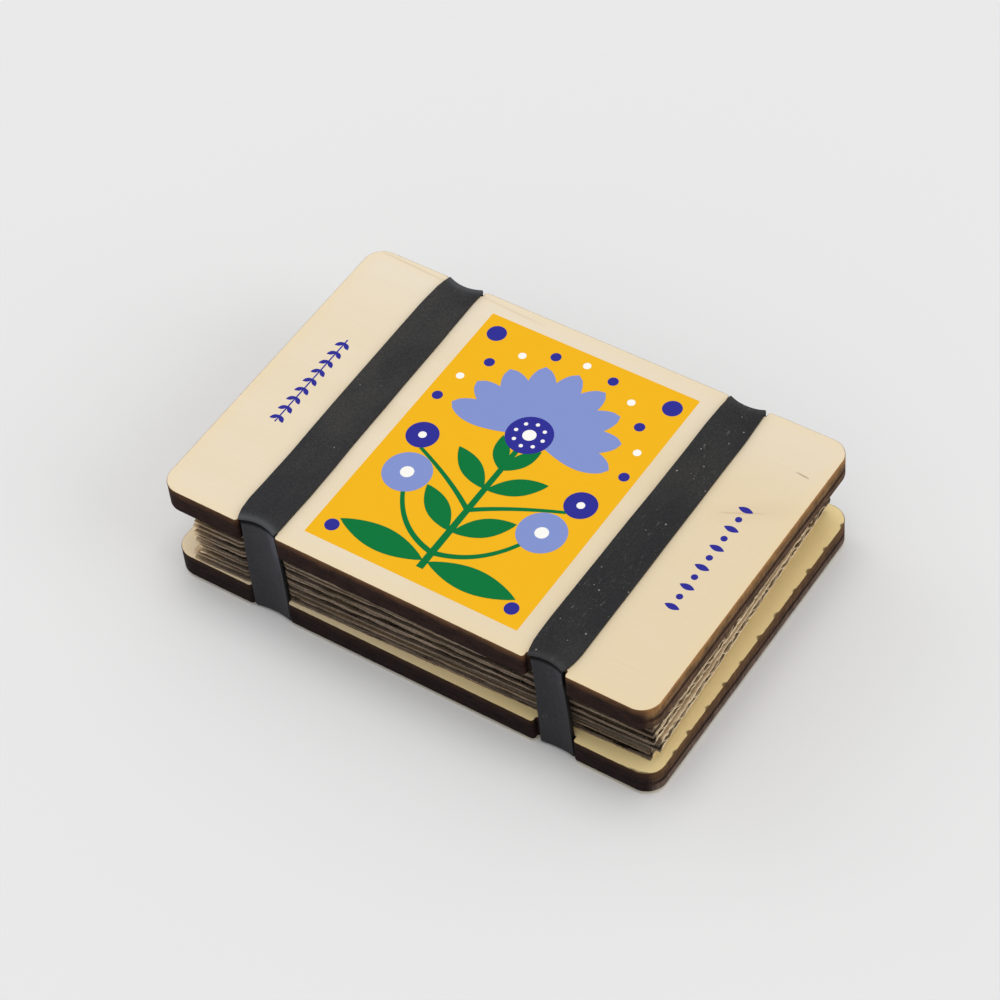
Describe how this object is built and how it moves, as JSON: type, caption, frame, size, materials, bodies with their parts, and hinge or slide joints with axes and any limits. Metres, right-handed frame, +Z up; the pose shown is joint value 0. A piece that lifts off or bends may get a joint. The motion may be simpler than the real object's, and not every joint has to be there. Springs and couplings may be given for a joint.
{
  "type": "flower press",
  "caption": "Pocket flower press: two notched plywood plates squeeze a stack of corrugated cards and blotting papers with two wide rubber bands.",
  "frame": {"origin": "middle of the press on the surface it rests on, under its two bands", "axes": "+X along the long side of the plates, +Y across them towards the back, +Z up through the stack"},
  "size_m": [0.12, 0.08, 0.0288],
  "materials": {
    "plywood": "bare, laser-cut, with brown burnt edges and a coloured print on the upper face",
    "card_facing": "matt brown paper",
    "card_fluting": "matt brown waved paper",
    "blotting_paper": "matt absorbent paper",
    "band_rubber": "dark satin rubber with light dust"
  },
  "bodies": {
    "base": {"bottom_plate": "plywood", "card_1_lower_facing": "card_facing", "card_1_fluting": "card_fluting", "card_1_upper_facing": "card_facing", "paper_1": "blotting_paper", "band_left": "band_rubber", "band_right": "band_rubber"},
    "layer_2": {"paper_2": "blotting_paper", "card_2_lower_facing": "card_facing", "card_2_fluting": "card_fluting", "card_2_upper_facing": "card_facing", "paper_3": "blotting_paper"},
    "layer_3": {"paper_4": "blotting_paper", "card_3_lower_facing": "card_facing", "card_3_fluting": "card_fluting", "card_3_upper_facing": "card_facing", "paper_5": "blotting_paper"},
    "layer_4": {"paper_6": "blotting_paper", "card_4_lower_facing": "card_facing", "card_4_fluting": "card_fluting", "card_4_upper_facing": "card_facing", "paper_7": "blotting_paper"},
    "lid": {"paper_8": "blotting_paper", "card_5_lower_facing": "card_facing", "card_5_fluting": "card_fluting", "card_5_upper_facing": "card_facing", "top_plate": "plywood"}
  },
  "joints": [
    {"name": "press_open", "type": "slide", "parent": "base", "child": "lid", "axis": [0, 0, 1], "range_m": [0, 0.012], "stiffness_N_per_m": 700, "springref_m": -0.04, "deforming": ["band_left", "band_right"]},
    {"name": "layer_2_rise", "type": "slide", "parent": "base", "child": "layer_2", "axis": [0, 0, 1], "range_m": [0, 0.003]},
    {"name": "layer_3_rise", "type": "slide", "parent": "base", "child": "layer_3", "axis": [0, 0, 1], "range_m": [0, 0.006]},
    {"name": "layer_4_rise", "type": "slide", "parent": "base", "child": "layer_4", "axis": [0, 0, 1], "range_m": [0, 0.009]}
  ],
  "couplings": [
    {"joint": "layer_2_rise", "follows": "press_open", "ratio": 0.25},
    {"joint": "layer_3_rise", "follows": "press_open", "ratio": 0.5},
    {"joint": "layer_4_rise", "follows": "press_open", "ratio": 0.75}
  ]
}
